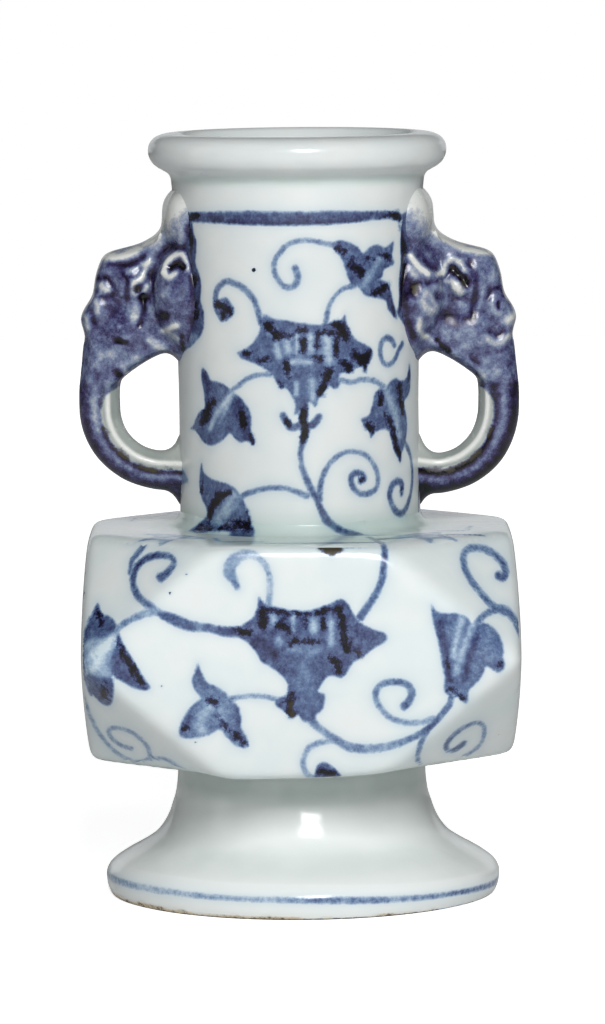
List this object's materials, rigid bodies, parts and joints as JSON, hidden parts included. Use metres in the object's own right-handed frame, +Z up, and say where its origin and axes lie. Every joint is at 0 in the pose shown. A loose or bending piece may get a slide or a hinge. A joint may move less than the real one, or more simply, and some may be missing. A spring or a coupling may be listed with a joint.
{
  "type": "vase",
  "caption": "Square-bodied vase with cut corners, flared round foot, tall round neck with a rolled lip, and elephant head handles, painted in blue with lotus scrolls on white.",
  "frame": {"origin": "centre of the foot ring, on the plane it stands on", "axes": "+Z up, +X through the right-hand handle, front face towards -Y"},
  "size_m": [0.0928, 0.0904, 0.1612],
  "materials": {
    "white_glaze": "glossy bluish white glaze over blue painting",
    "blue_glaze": "glossy glaze over a blue wash"
  },
  "bodies": {
    "root": {"foot": "white_glaze", "floor_slab": "white_glaze", "front_wall": "white_glaze", "back_wall": "white_glaze", "left_wall": "white_glaze", "right_wall": "white_glaze", "shoulder_slab": "white_glaze", "neck": "white_glaze", "upper_front_left_corner": "white_glaze", "upper_front_right_corner": "white_glaze", "upper_back_left_corner": "white_glaze", "upper_back_right_corner": "white_glaze", "lower_front_left_corner": "white_glaze", "lower_front_right_corner": "white_glaze", "lower_back_left_corner": "white_glaze", "lower_back_right_corner": "white_glaze", "right_elephant_head": "blue_glaze", "right_trunk": "blue_glaze", "left_elephant_head": "blue_glaze", "left_trunk": "blue_glaze"}
  },
  "joints": []
}
